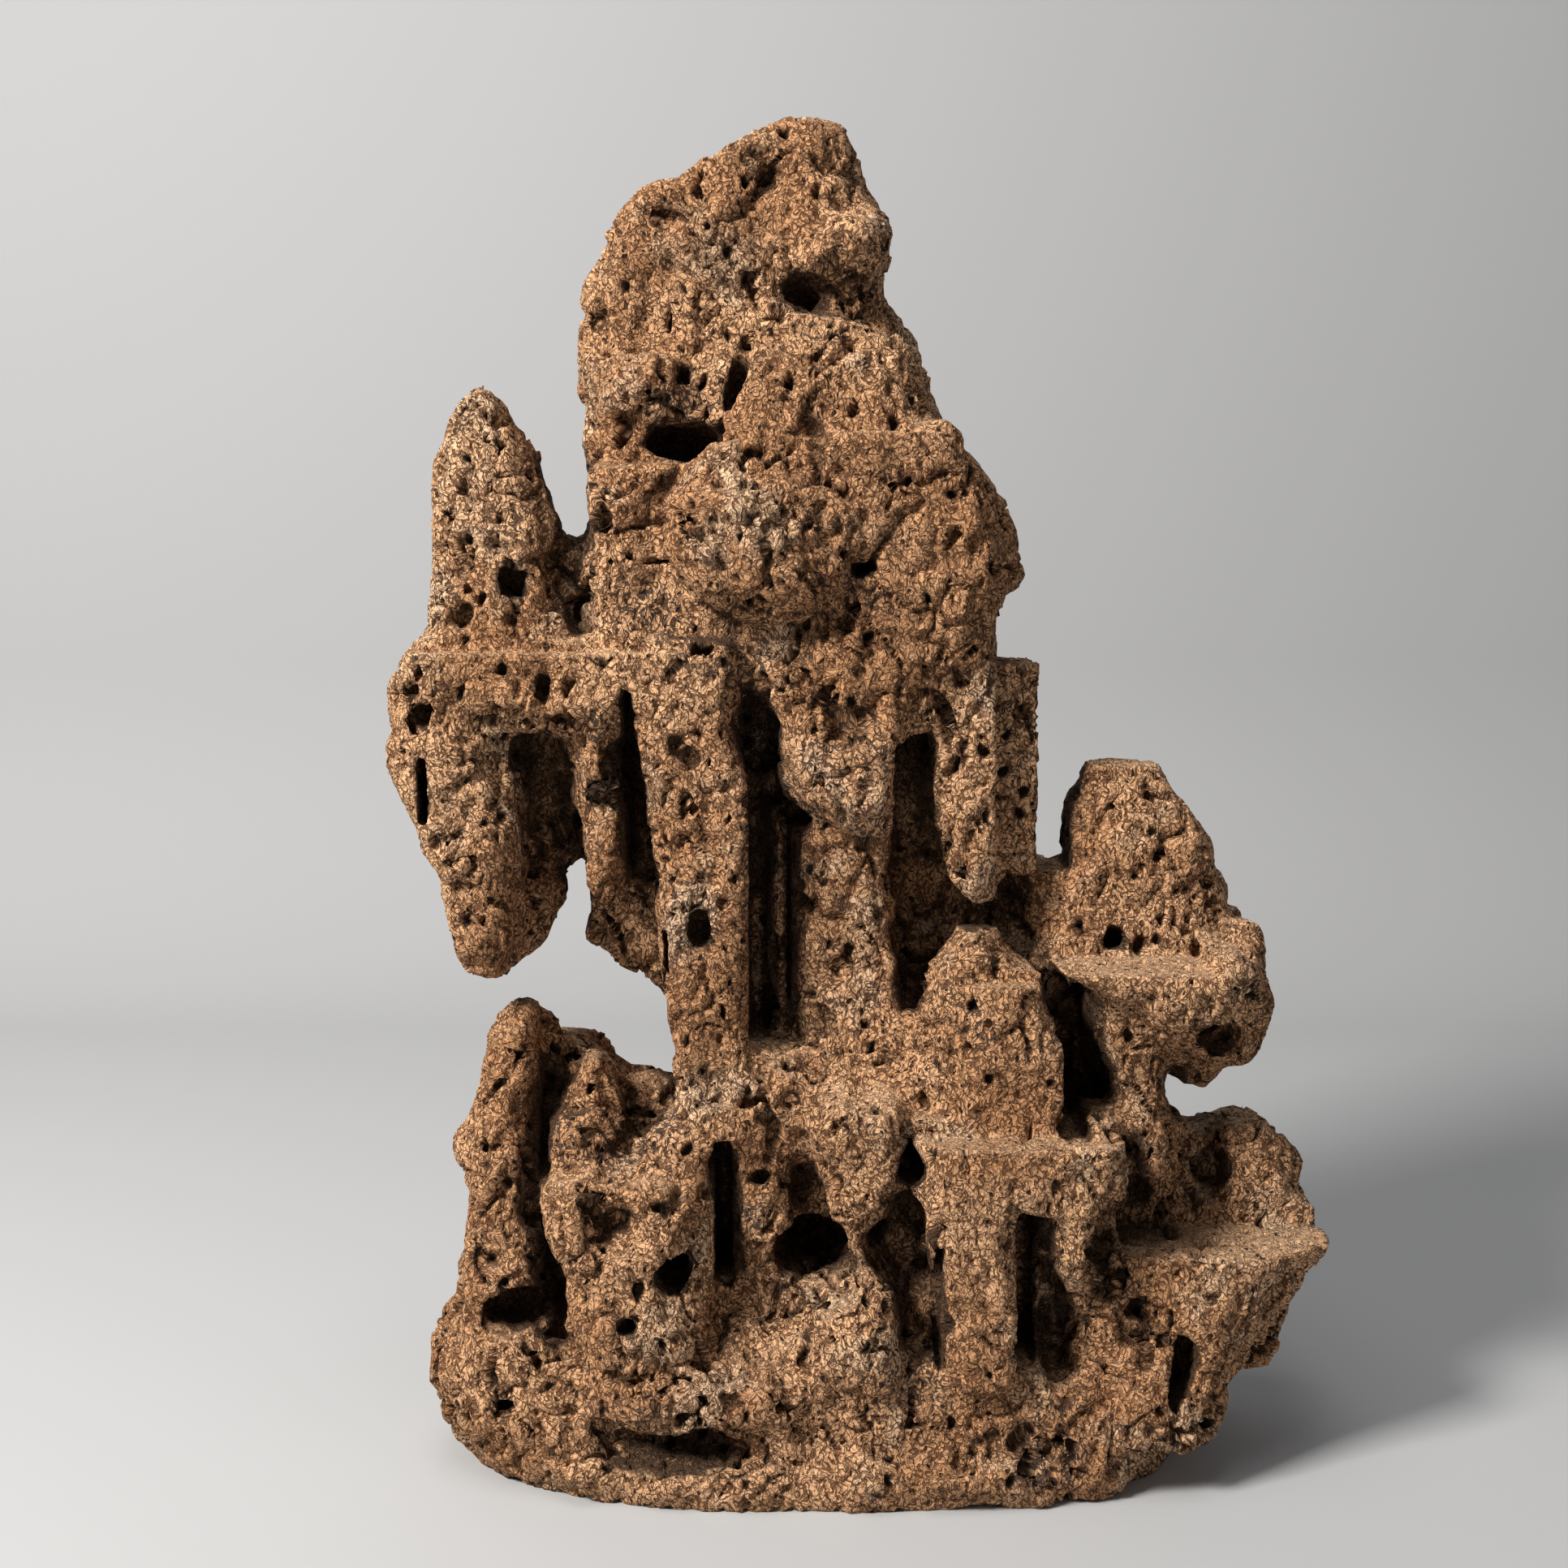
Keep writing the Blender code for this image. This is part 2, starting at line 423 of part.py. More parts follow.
# Saw kerfs, and slots between two saw cuts: the left and right column, the top and bottom row, the front and
# back, and the depth of the face they are cut into.
KERFS = {
    "kerf hang west": (508, 518, 935, 1020, -0.080, 0.006, -0.046),
    "kerf curtain pillar": (766, 778, 850, 1078, -0.080, 0.010, -0.042),
    "kerf pillar west": (813, 821, 1150, 1235, -0.080, 0.000, -0.050),
    "kerf rib": (968, 976, 985, 1242, -0.080, 0.014, -0.020),
    "kerf square": (1236, 1243, 835, 985, -0.040, 0.030, -0.020),
    "kerf leg": (1157, 1168, 1540, 1705, -0.120, -0.050, -0.096),
    "kerf crag": (656, 667, 1345, 1462, -0.090, -0.010, -0.056),
    "kerf boulder": (803, 808, 1450, 1500, -0.110, -0.050, -0.080),
    "kerf second boulder": (843, 848, 1400, 1450, -0.110, -0.040, -0.060),
    "slot groove": (921, 944, 930, 1285, -0.080, 0.010, -0.030),
    "slot east": (1101, 1138, 918, 1120, -0.080, 0.014, -0.040),
    "slot neck": (1304, 1342, 1212, 1392, -0.080, 0.020, -0.040),
    "slot ledge": (1254, 1290, 1504, 1700, -0.130, -0.030, -0.090),
    "slot centre": (878, 900, 1404, 1590, -0.110, 0.000, -0.060),
}

# The space that the saw cleared over each flat ledge, in the same order.
CLEARED = {
    "west terrace": (470, 800, 728, 806, -0.120, -0.034, -0.050),
    "west terrace root": (790, 874, 762, 806, -0.120, -0.040, -0.050),
    "niche floor": (742, 852, 545, 572, -0.120, -0.013, -0.024),
    "shoulder step": (1000, 1215, 486, 533, -0.120, -0.044, -0.050),
    "square pillar top": (1229, 1320, 762, 818, -0.040, 0.090, -0.010),
    "square pillar side": (1279, 1330, 800, 1076, -0.040, 0.090, -0.010),
    "wing top": (1276, 1512, 1150, 1206, -0.150, -0.019, -0.074),
    "dome top": (1320, 1470, 905, 943, -0.100, 0.100, 0.006),
    "right terrace top": (1388, 1760, 1470, 1552, -0.160, -0.010, -0.066),
    "right terrace front top": (1330, 1400, 1500, 1552, -0.160, -0.062, -0.066),
    "pinnacle step top": (1189, 1310, 1176, 1218, -0.150, -0.051, -0.063),
    "front ledge top": (1112, 1404, 1340, 1424, -0.160, -0.066, -0.097),
}

# The flat fronts that the saw left: the left and right column, the top and bottom row, and the depth of the
# face at its top and at its bottom.
FRONTS = {
    "slab": (470, 880, 800, 860, -0.0495, -0.0485),
    "great pillar": (772, 930, 800, 1300, -0.0495, -0.0580),
    "second pillar": (972, 1104, 1040, 1250, -0.021, -0.025),
    "square pillar": (1225, 1300, 790, 1090, -0.013, -0.012),
    "ledge": (1100, 1412, 1418, 1506, -0.0985, -0.0975),
    "west leg": (1140, 1262, 1500, 1720, -0.0975, -0.0965),
}


def seen(column, row, depth):
    """Where the point is that is seen at this column and row, and lies at this depth: its x and its z."""
    across = (column - PICTURE / 2) / FOCAL
    down = (row - PICTURE / 2) / FOCAL
    forward = math.cos(EYE_TILT) - down * math.sin(EYE_TILT)
    upward = -math.sin(EYE_TILT) - down * math.cos(EYE_TILT)
    reach = (EYE_DISTANCE + depth) / forward
    return EYE_SIDE + across * reach, EYE_HEIGHT + upward * reach


def wavering(phases, angle, height):
    """The swell of a ring's outline at this angle, around 1."""
    slow = math.sin(2 * angle + phases[0] + 25 * height)
    middling = 0.6 * math.sin(3 * angle + phases[1] - 40 * height)
    fast = 0.4 * math.sin(5 * angle + phases[2] + 70 * height)
    return 1 + WAVER * (slow + middling + fast)


def ring_of(stone, squareness, section, phases):
    """The ring of one section, as vertices of the stone."""
    row, left, right, front, back = section
    outer = front + EDGE_DEPTH * (back - front)
    middle = (front + back) / 2
    west = seen(left, row, outer if left < PICTURE / 2 else middle)[0]
    east = seen(right, row, outer if right > PICTURE / 2 else middle)[0]
    height = seen(PICTURE / 2, row, front)[1]
    ring = []
    for corner in range(RING_CORNERS):
        angle = math.tau * corner / RING_CORNERS
        swell = wavering(phases, angle, height)
        across, along = (
            math.copysign(abs(part) ** (2 / squareness), part) * swell for part in (math.cos(angle), math.sin(angle))
        )
        ring.append(stone.verts.new((
            (west + east + across * (east - west)) / 2,
            middle + along * (back - front) / 2,
            height,
        )))
    return ring


def hewn(stone, squareness, sections):
    """Adds one closed form, which joins the rings of its sections."""
    waver = random.Random(len(stone.verts))
    phases = [waver.uniform(0, math.tau) for _ in range(3)]
    rings = [ring_of(stone, squareness, section, phases) for section in sections]
    for lower, upper in zip(rings, rings[1:]):
        for corner in range(RING_CORNERS):
            following = (corner + 1) % RING_CORNERS
            stone.faces.new((lower[corner], lower[following], upper[following], upper[corner]))
    stone.faces.new(reversed(rings[0]))
    stone.faces.new(rings[-1])


def block(cutter, left, right, bottom, top, front, back):
    made = bmesh.ops.create_cube(cutter, size=1)
    bmesh.ops.scale(cutter, vec=(right - left, back - front, top - bottom), verts=made["verts"])
    middle = Vector(((left + right) / 2, (front + back) / 2, (bottom + top) / 2))
    bmesh.ops.translate(cutter, vec=middle, verts=made["verts"])


def sawn(cutter, left, right, top, bottom, front, back, face):
    """Adds a straight-sided block, which is seen between two columns and two rows of the face it is cut into."""
    west, low = seen(left, bottom, face)
    east, high = seen(right, top, face)
    block(cutter, min(west, east), max(west, east), low, high, front, back)


def faced(cutter, left, right, top, bottom, face_top, face_bottom):
    """Adds all that lies in front of one flat face, which may lean forwards."""
    rows = ((bottom, face_bottom), (top, face_top))
    corners = []
    for row, face in rows:
        west, height = seen(left, row, face)
        east, _ = seen(right, row, face)
        for x, y in ((west, -CLEAR_OF_FRONT), (east, -CLEAR_OF_FRONT), (east, face), (west, face)):
            corners.append(cutter.verts.new((x, y, height)))
    lower, upper = corners[:4], corners[4:]
    for side in range(4):
        following = (side + 1) % 4
        cutter.faces.new((lower[side], lower[following], upper[following], upper[side]))
    cutter.faces.new(reversed(lower))
    cutter.faces.new(upper)


def hollow(cutter, column, row, half_width, half_height, surface, deep, lean):
    """Adds a rounded hollow."""
    x, z = seen(column, row, surface)
    scale = (EYE_DISTANCE + surface) / FOCAL
    radii = (half_width * scale, deep, half_height * scale)
    made = bmesh.ops.create_icosphere(cutter, subdivisions=2, radius=1)
    turn = Matrix.Rotation(math.radians(lean), 4, "Y")
    place = Matrix.Translation((x, surface, z)) @ turn @ Matrix.Diagonal((*radii, 1))
    bmesh.ops.transform(cutter, matrix=place, verts=made["verts"])


def mesh_object(name, add, readings):
    """An object whose mesh the function adds to, once for each reading."""
    shape = bmesh.new()
    for reading in readings:
        add(shape, *reading)
    bmesh.ops.recalc_face_normals(shape, faces=shape.faces)
    mesh = bpy.data.meshes.new(name)
    shape.to_mesh(mesh)
    shape.free()
    made = bpy.data.objects.new(name, mesh)
    bpy.context.scene.collection.objects.link(made)
    return made


def grow_together(shape, name):
    """Makes one skin of overlapping forms."""
    remesh = shape.modifiers.new(name, "REMESH")
    remesh.mode = "VOXEL"
    remesh.voxel_size = GRAIN


def relief(stone, name, size, height):
    """Raises and sinks the skin in lumps of about this size."""
    texture = bpy.data.textures.new(name, "CLOUDS")
    texture.noise_scale = size
    texture.noise_depth = 2
    raised = stone.modifiers.new(name, "DISPLACE")
    raised.texture = texture
    raised.texture_coords = "GLOBAL"
    raised.strength = height


def cut_away(stone, cutter, cutters_overlap=False):
    cutter.hide_render = True
    cutter.display_type = "WIRE"
    cut = stone.modifiers.new(cutter.name, "BOOLEAN")
    cut.operation = "DIFFERENCE"
    cut.use_self = cutters_overlap
    cut.object = cutter


def settle(stone):
    """Makes the stone's mesh what its modifiers show, and clears them."""
    graph = bpy.context.evaluated_depsgraph_get()
    shown = bpy.data.meshes.new_from_object(stone.evaluated_get(graph))
    stone.modifiers.clear()
    stone.data = shown


def drop_crumbs(stone):
    """Keeps only the largest piece, because the cuts can free small ones."""
    shape = bmesh.new()
    shape.from_mesh(stone.data)
    unseen = set(shape.verts)
    pieces = []
    while unseen:
        piece = []
        reached = [unseen.pop()]
        while reached:
            vertex = reached.pop()
            piece.append(vertex)
            for edge in vertex.link_edges:
                neighbour = edge.other_vert(vertex)
                if neighbour in unseen:
                    unseen.remove(neighbour)
                    reached.append(neighbour)
        pieces.append(piece)
    pieces.sort(key=len)
    for crumb in pieces[:-1]:
        bmesh.ops.delete(shape, geom=crumb, context="VERTS")
    shape.to_mesh(stone.data)
    shape.free()


def fit(stone):
    """Brings the stone to its real size, on the ground and over the origin."""
    corners = [vertex.co for vertex in stone.data.vertices]
    low = Vector([min(corner[axis] for corner in corners) for axis in range(3)])
    high = Vector([max(corner[axis] for corner in corners) for axis in range(3)])
    foot = Vector(((low.x + high.x) / 2, (low.y + high.y) / 2, low.z))
    size = high - low
    scale = Matrix.Diagonal((WIDTH / size.x, DEPTH / size.y, HEIGHT / size.z, 1))
    stone.data.transform(scale @ Matrix.Translation(-foot))


def tufa():
    """Dry, porous limestone of a warm brown, with no shine."""
    material = bpy.data.materials.new("tufa")
    material.use_nodes = True
    surface = material.node_tree.nodes["Principled BSDF"]
    surface.inputs["Base Color"].default_value = (0.36, 0.24, 0.15, 1)
    surface.inputs["Roughness"].default_value = 0.95
    surface.inputs["Metallic"].default_value = 0.0
    return material


for old in list(bpy.data.objects):
    bpy.data.objects.remove(old)

forms = [
    form
    for group in (SUMMIT, SHOULDER, WEST_SPIRE, WEST_TERRACE, HANGING, CORE, PILLARS, EAST_DOME, EAST_CRAG,
                  TERRACE, BASE, WEST_CRAG, BOULDER, CENTRE, PINNACLE, FRONT_LEDGE)
    for form in group.values()
]
stone = mesh_object("stone", hewn, forms)
grow_together(stone, "forms in one")
hollows = mesh_object("hollows", hollow, HOLLOWS.values())
grow_together(hollows, "hollows in one")
cut_away(stone, hollows)
relief(stone, "lumps", LUMP_SIZE, LUMP_RELIEF)
relief(stone, "knobs", KNOB_SIZE, KNOB_RELIEF)
grow_together(stone, "relief in one")
settle(stone)

fewer = stone.modifiers.new("fewer faces", "DECIMATE")
fewer.ratio = BODY_TRIANGLES / (2 * len(stone.data.polygons))
cut_away(stone, mesh_object("kerfs", sawn, KERFS.values()), cutters_overlap=True)
cut_away(stone, mesh_object("flat fronts", faced, FRONTS.values()), cutters_overlap=True)
cut_away(stone, mesh_object("cleared ledges", sawn, CLEARED.values()), cutters_overlap=True)
ground = (-GROUND_SIDE, GROUND_SIDE, -GROUND_SIDE, 0.0, -GROUND_SIDE, GROUND_SIDE)
cut_away(stone, mesh_object("ground", block, [ground]))
settle(stone)
drop_crumbs(stone)
fit(stone)
stone.data.materials.append(tufa())
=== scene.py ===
import math

import bmesh
import bpy
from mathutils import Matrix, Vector


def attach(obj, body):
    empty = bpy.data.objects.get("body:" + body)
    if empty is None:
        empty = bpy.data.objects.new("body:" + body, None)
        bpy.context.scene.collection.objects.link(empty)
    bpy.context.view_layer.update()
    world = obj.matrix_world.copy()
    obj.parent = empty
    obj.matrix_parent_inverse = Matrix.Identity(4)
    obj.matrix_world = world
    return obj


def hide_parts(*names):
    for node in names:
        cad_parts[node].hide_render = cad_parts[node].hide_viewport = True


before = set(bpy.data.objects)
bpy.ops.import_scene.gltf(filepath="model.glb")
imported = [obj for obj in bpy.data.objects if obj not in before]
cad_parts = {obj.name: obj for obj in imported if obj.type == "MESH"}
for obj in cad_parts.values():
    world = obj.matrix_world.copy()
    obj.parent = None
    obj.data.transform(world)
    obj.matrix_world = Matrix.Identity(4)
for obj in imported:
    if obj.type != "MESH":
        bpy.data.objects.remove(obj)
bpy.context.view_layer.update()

# The viewpoint.
# A camera stands about a metre in front of the stone and a little left of its middle, about two thirds up.
# It looks slightly down on the whole of the carved front, as somebody does who stoops to look at it.
CAMERA_PLACE = (-0.0415, -1.0506, 0.506)
LOOKS_DOWN = math.radians(7.4)
VIEW_ANGLE = math.radians(43.71)

camera = bpy.data.objects.new("camera", bpy.data.cameras.new("camera"))
camera.location = CAMERA_PLACE
camera.rotation_euler = (math.pi / 2 - LOOKS_DOWN, 0, 0)
camera.data.sensor_fit = "HORIZONTAL"
camera.data.angle = VIEW_ANGLE
bpy.context.scene.collection.objects.link(camera)
bpy.context.scene.camera = camera

# The stone.
# One block of porous limestone tufa, which grew round moss and reeds and kept their holes when they rotted.
# It was sawn into terraces, pillars and kerfs, then broken by hand, so sawn faces meet ragged ones.
SKIN_GRAIN = 0.0014         # spacing of the points that carry the fine surface
ROUNDING = 10               # passes that round the natural breaks, and leave the sawn faces flat
ROUNDING_BEHIND = 60        # passes that round the plain broken back
KEPT_SHARE = 0.150          # of the triangles of that skin
BEHIND_FEWER = 10.0         # how much sooner the back gives up its triangles than the carved front does


class Wire:
    """A socket of a node. Sums, products and comparisons of wires are nodes of the same tree."""

    def __init__(self, socket):
        self.socket = socket

    def out(self, name):
        """Another output of the same node."""
        return Wire(self.socket.node.outputs[name])

    def maths(self, operation, *others):
        inputs = dict(enumerate((self, *others)))
        return Nodes(self.socket.id_data).add("ShaderNodeMath", {"operation": operation}, inputs)

    def __add__(self, other):
        return self.maths("ADD", other)

    def __mul__(self, other):
        return self.maths("MULTIPLY", other)

    def __sub__(self, other):
        return self.maths("SUBTRACT", other)

    def __rsub__(self, other):
        return self * -1 + other

    def __truediv__(self, other):
        return self.maths("DIVIDE", other)

    def __lt__(self, other):
        return self.maths("LESS_THAN", other)

    def __gt__(self, other):
        return self.maths("GREATER_THAN", other)

    __radd__ = __add__
    __rmul__ = __mul__

    def most(self, other):
        return self.maths("MAXIMUM", other)

    def size(self):
        return self.maths("ABSOLUTE")


class Nodes:
    """Adds nodes to one tree. A node's settings are set first, then its sockets take values or wires."""

    def __init__(self, tree):
        self.tree = tree

    def add(self, kind, settings=None, inputs=None, output=0):
        node = self.tree.nodes.new(kind)
        for name, value in (settings or {}).items():
            setattr(node, name, value)
        for key, value in (inputs or {}).items():
            if isinstance(value, Wire):
                self.tree.links.new(value.socket, node.inputs[key])
            else:
                node.inputs[key].default_value = value
        return Wire(node.outputs[output]) if node.outputs else None

    def vectors(self, operation, first, second):
        return self.add("ShaderNodeVectorMath", {"operation": operation}, {0: first, 1: second})

    def scaled(self, vector, factor):
        return self.add("ShaderNodeVectorMath", {"operation": "SCALE"}, {0: vector, "Scale": factor})

    def between(self, value, low, high, to_low=0.0, to_high=1.0):
        """to_low where the value is under low, to_high where it is over high, and a smooth step between."""
        inputs = {"Value": value, "From Min": low, "From Max": high}
        inputs |= {"To Min": to_low, "To Max": to_high}
        return self.add("ShaderNodeMapRange", {"interpolation_type": "SMOOTHSTEP"}, inputs)

    def noise(self, place, size, detail=2.0, rough=0.5, twist=0.0):
        """Clouds of about this size in metres, from 0 to 1."""
        inputs = {"Vector": place, "Scale": 1 / size, "Detail": detail}
        inputs |= {"Roughness": rough, "Distortion": twist}
        return self.add("ShaderNodeTexNoise", None, inputs)

    def cells(self, place, size):
        """The distance in cells to the nearest of points scattered this far apart, and a colour for each."""
        return self.add("ShaderNodeTexVoronoi", None, {"Vector": place, "Scale": 1 / size})


def stretched(nodes, place, upward):
    """The place with its heights scaled, so that what is scattered there stands taller than it is wide."""
    return nodes.vectors("MULTIPLY", place, (1.0, 1.0, upward))


def warped(nodes, place, size, reach):
    """The place, pushed about in clouds of this size by up to this far."""
    push = nodes.noise(place, size, detail=0.0).out("Color")
    centred = nodes.vectors("SUBTRACT", push, (0.5, 0.5, 0.5))
    return nodes.vectors("ADD", place, nodes.scaled(centred, 2 * reach))


def holes(nodes, place, spacing, share, smallest, largest, lip=0.6):
    """1 in holes scattered this far apart and 0 outside them. Only a share of the places has a hole."""
    found = nodes.cells(place, spacing)
    chances = nodes.add("ShaderNodeSeparateXYZ", None, {0: found.out("Color")})
    radius = chances.out("Y") * ((largest - smallest) / spacing) + smallest / spacing
    depth = nodes.between(found.out("Distance") / radius, lip, 1.0, 1.0, 0.0)
    return depth * (chances < share)


def gaps(nodes, place, size, level, edge=0.05):
    """1 in ragged gaps where clouds of this size are denser than the level, and 0 outside their edge."""
    return nodes.between(nodes.noise(place, size, detail=1.5, twist=0.6), level, level + edge)


def furrows(nodes, place, size, width, floor=0.0, twist=0.8):
    """1 along winding lines this far apart, and 0 off them. The floor is how much of the width is flat."""
    off_line = (nodes.noise(place, size, detail=1.0, twist=twist) - 0.5).size()
    return nodes.between(off_line, width * floor, width, 1.0, 0.0)


def openings(nodes, place):
    """Its hollows, its round holes and its ragged pores, each 1 inside, at this place."""
    upright = stretched(nodes, place, 0.72)
    broad = warped(nodes, upright, size=0.016, reach=0.007)
    middling = warped(nodes, upright, size=0.008, reach=0.0030)
    hollow = gaps(nodes, broad, size=0.019, level=0.630)
    hole = holes(nodes, middling, spacing=0.0105, share=0.38, smallest=0.0013, largest=0.0040)
    pore = gaps(nodes, middling, size=0.0054, level=0.575)
    return hollow, hole, pore


# How far the fine surface sinks or rises, in metres.
DEPTHS = {
    "Lump height": 0.018,
    "Lump height behind": 0.045,
    "Crevice depth": 0.0045,
    "Hollow depth": 0.0065,
    "Hole depth": 0.0055,
    "Pore depth": 0.0020,
    "Ridge height": 0.0034,
}


# How a point's looks lean off straight out, how far they see, and how near stone shelters it fully.
LEAN = 0.9
LEANS = ((LEAN, 0, 0), (-LEAN, 0, 0), (0, 0, LEAN), (0, 0, -LEAN), (0, -LEAN, 0), (0, LEAN, 0))
SHELTER_REACH = 0.055
SHELTER_NEAR = 0.010
FARTHEST_COUNTS = 0.25      # what stone at the end of the reach counts, beside near stone's 1
LOOKS_THAT_FILL = 4         # this many looks on near stone make a point fully sheltered
CLEAR_OF_SKIN = 0.004       # a look starts this far out, over the roughness at its own foot


# Each point's shelter becomes painted shade: the paint darkens a recess the more stone stands before it.
def sheltered(nodes, skin, place, normal):
    """How much stone stands close in front of each point, from 0 on an open face to 1 deep in a cave."""
    start = nodes.vectors("ADD", place, nodes.scaled(normal, CLEAR_OF_SKIN))

    def nearness(way):
        inputs = {"Target Geometry": skin, "Source Position": start}
        inputs |= {"Ray Direction": way, "Ray Length": SHELTER_REACH}
        hit = nodes.add("GeometryNodeRaycast", None, inputs)
        distance = hit.out("Hit Distance")
        return hit * nodes.between(distance, SHELTER_NEAR, SHELTER_REACH, 1.0, FARTHEST_COUNTS)

    total = nearness(normal)
    for lean in LEANS:
        total = total + nearness(nodes.vectors("ADD", normal, lean))
    return total * (1 / LOOKS_THAT_FILL)


def kept(nodes, geometry, kind, name, value):
    """The geometry with this value kept on its points, for the paint to read."""
    settings = {"data_type": kind, "domain": "POINT"}
    inputs = {"Geometry": geometry, "Name": name, "Value": value}
    return nodes.add("GeometryNodeStoreNamedAttribute", settings, inputs)


def blurred(nodes, value, passes, weight):
    """The vector levelled with its neighbours' in this many passes, where the weight is 1."""
    inputs = {"Value": value, "Iterations": passes, "Weight": weight}
    return nodes.add("GeometryNodeBlurAttribute", {"data_type": "FLOAT_VECTOR"}, inputs)


# The solid's faces that lie square to an axis are sawn. Near them the rounding and the lumps die out.
SAWN_SQUARENESS = 0.9995    # how much of a sawn face's normal lies along one axis
ROUNDED_FROM = (0.0008, 0.0040)     # off a sawn face: where the rounding starts, and where it is full
LUMPED_FROM = (0.0010, 0.0220)      # the same for the lumps and crevices
BACK_FACING = (0.30, 0.80)  # how far the skin looks backward where the back begins, and where it is full
LEVEL_FACING = (0.70, 0.95)         # the same for looking up, on ledges
MORE_LUMP_BEHIND = 0.8
LUMP_BIAS = 0.55            # over the clouds' middle, so that more of the skin sinks than swells


def weathering():
    """Geometry nodes that round the breaks, then swell the crust in lumps and sink its holes and pores."""
    tree = bpy.data.node_groups.new("weathering", "GeometryNodeTree")
    tree.interface.new_socket("Geometry", in_out="INPUT", socket_type="NodeSocketGeometry")
    tree.interface.new_socket("Solid", in_out="INPUT", socket_type="NodeSocketObject")
    for name, value in {"Rounding": ROUNDING, "Rounding behind": ROUNDING_BEHIND}.items():
        tree.interface.new_socket(name, in_out="INPUT", socket_type="NodeSocketInt").default_value = value
    for name, value in DEPTHS.items():
        tree.interface.new_socket(name, in_out="INPUT", socket_type="NodeSocketFloat").default_value = value
    tree.interface.new_socket("Geometry", in_out="OUTPUT", socket_type="NodeSocketGeometry")
    nodes = Nodes(tree)
    given = nodes.add("NodeGroupInput")

    solid = nodes.add("GeometryNodeObjectInfo", None, {"Object": given.out("Solid")}, output="Geometry")
    parts = nodes.add("ShaderNodeSeparateXYZ", None, {0: nodes.add("GeometryNodeInputNormal")})
    squarest = parts.size().most(parts.out("Y").size()).most(parts.out("Z").size())
    square = squarest > SAWN_SQUARENESS
    sawn = nodes.add("GeometryNodeSeparateGeometry", {"domain": "FACE"}, {0: solid, 1: square})
    off_saw = nodes.add("GeometryNodeProximity", {"target_element": "FACES"}, {0: sawn}, output="Distance")
    natural = nodes.between(off_saw, *ROUNDED_FROM)
    broken = nodes.between(off_saw, *LUMPED_FROM)
    behind = nodes.between(parts.out("Y"), *BACK_FACING)
    rounded = blurred(nodes, nodes.add("GeometryNodeInputPosition"), given.out("Rounding"), natural)
    rounded = blurred(nodes, rounded, given.out("Rounding behind"), behind)
    skin = nodes.add("GeometryNodeSetPosition", None, {"Geometry": given, "Position": rounded})

    place = nodes.add("GeometryNodeInputPosition")
    normal = nodes.add("GeometryNodeInputNormal")
    broad = warped(nodes, stretched(nodes, place, 0.8), size=0.030, reach=0.008)
    lumps = (nodes.noise(broad, size=0.038) - LUMP_BIAS) * given.out("Lump height")
    lumps = lumps * (behind * MORE_LUMP_BEHIND + 1.0)
    lumps = lumps + (nodes.noise(broad, size=0.080) - LUMP_BIAS) * behind * given.out("Lump height behind")
    crevice = furrows(nodes, broad, size=0.034, width=0.035) * given.out("Crevice depth")
    swelling = nodes.scaled(normal, (lumps - crevice) * broken)
    skin = nodes.add("GeometryNodeSetPosition", None, {"Geometry": skin, "Offset": swelling})
    skin = kept(nodes, skin, "FLOAT_VECTOR", "bed", place)
    # Kept for the paint, which darkens the sheltered recesses with painted shade.
    skin = kept(nodes, skin, "FLOAT", "shelter", sheltered(nodes, skin, place, normal))
    # How much each point faces up, kept for the paint, which pales the ledge tops with lime dust and with
    # painted light from above.
    upward = nodes.add("ShaderNodeSeparateXYZ", None, {0: normal}, output="Z")
    skin = kept(nodes, skin, "FLOAT", "level", nodes.between(upward, *LEVEL_FACING))

    hollow, hole, pore = openings(nodes, place)
    ridges = nodes.noise(place, size=0.0065, rough=0.55, twist=0.8) - 0.5
    sunk = hollow * given.out("Hollow depth") + hole * given.out("Hole depth")
    sunk = sunk + pore * given.out("Pore depth") - ridges * given.out("Ridge height")
    inward = nodes.scaled(normal, sunk * -1)
    skin = nodes.add("GeometryNodeSetPosition", None, {"Geometry": skin, "Offset": inward})
    whole = nodes.add("GeometryNodeRealizeInstances", None, {"Geometry": skin})
    finished = nodes.add("GeometryNodeSetMaterial", None, {"Geometry": whole, "Material": tufa()})
    nodes.add("NodeGroupOutput", None, {"Geometry": finished})
    return tree


LIT_TAN = (0.73, 0.427, 0.229)
WARM_TAN = (0.51, 0.264, 0.125)
GREY_TAN = (0.70, 0.503, 0.328)
# A rust-brown tint of the stone's own, darkened as painted shade, laid in the furrows and pores.
RUST_AND_SHADE = (0.120, 0.050, 0.021)
SOOT = (0.060, 0.050, 0.043)
# Painted shade, nearly black, laid in the hollows, holes and pinholes.
HOLE_SHADE = (0.014, 0.008, 0.005)
# Painted shade, umber brown, laid over the recesses that stone shelters.
RECESS_SHADE = (0.040, 0.020, 0.010)

# How much of the colour below each layer covers, at most.
DUST_COVERS = 0.75
GRAIN_COVERS = 0.9
GRAIN_FROM = 0.35
LEVEL_COVERS = 0.30
THREAD_BESIDE_WORM = 0.65
FURROWS_COVER = 0.92
FURROWS_LESS_ON_LEVEL = 0.45
SOOT_COVERS = 0.8
PORES_COVER = 0.50
HOLLOWS_COVER = 0.55
HOLES_COVER = 0.93
SHADE_COVERS = 0.88
SHADE_FROM = 0.25

# The heights of what is too fine for the skin's points, in metres.
GRAIN_RISE = 0.0011
WORM_SINK = 0.0022
THREAD_SINK = 0.0010
PINHOLE_SINK = 0.0018


